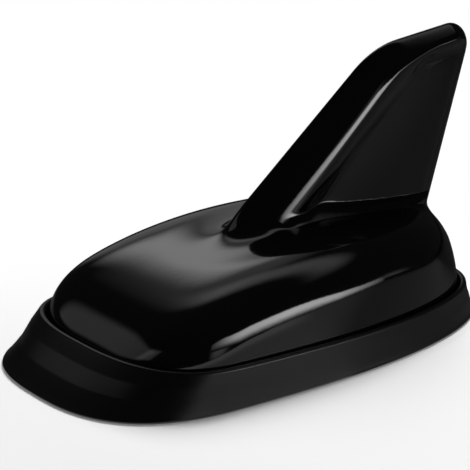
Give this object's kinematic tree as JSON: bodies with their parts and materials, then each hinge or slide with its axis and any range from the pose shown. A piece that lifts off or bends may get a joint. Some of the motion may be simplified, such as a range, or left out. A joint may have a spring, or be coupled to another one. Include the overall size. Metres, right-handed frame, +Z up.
{
  "type": "shark fin aerial",
  "caption": "Low roof aerial with a gloss teardrop cover, a swept fin with recessed sides and a soft skirt; receiving boards inside.",
  "frame": {"origin": "middle of the overall length and width, on the plane of the roof under the adhesive pad", "axes": "+X from the rounded nose towards the fin and tail, +Y across, +Z up away from the roof"},
  "size_m": [0.1398, 0.0754, 0.0773],
  "materials": {
    "gloss_black": "high gloss moulded cover",
    "soft_black": "satin soft skirt",
    "moulded_grey": "matt moulded base",
    "foam_tape": "closed-cell foam tape",
    "zinc_steel": "bright zinc",
    "black_rubber": "matt rubber",
    "board_green": "solder mask",
    "ceramic": "fired ceramic",
    "silver_film": "printed silver",
    "gilt": "plated brass",
    "tinned_steel": "tinned sheet",
    "chip_black": "moulded chip",
    "chip_tan": "chip parts",
    "nylon": "natural nylon",
    "copper_wire": "copper"
  },
  "bodies": {
    "root": {"cover": "gloss_black", "skirt": "soft_black", "base_plate": "moulded_grey", "adhesive_pad": "foam_tape", "cover_screws": "zinc_steel", "lead_grommet": "black_rubber", "main_board": "board_green", "board_screws": "zinc_steel", "patch_tape": "foam_tape", "patch_ceramic": "ceramic", "patch_electrode": "silver_film", "patch_pin": "gilt", "shield_can": "tinned_steel", "amplifier_chip": "chip_black", "chip_parts": "chip_tan", "lead_sockets": "gilt", "coil_former": "nylon", "coil_winding": "copper_wire", "mast_holder": "nylon", "mast_board": "board_green", "mast_track": "copper_wire", "mast_foam": "foam_tape"}
  },
  "joints": []
}
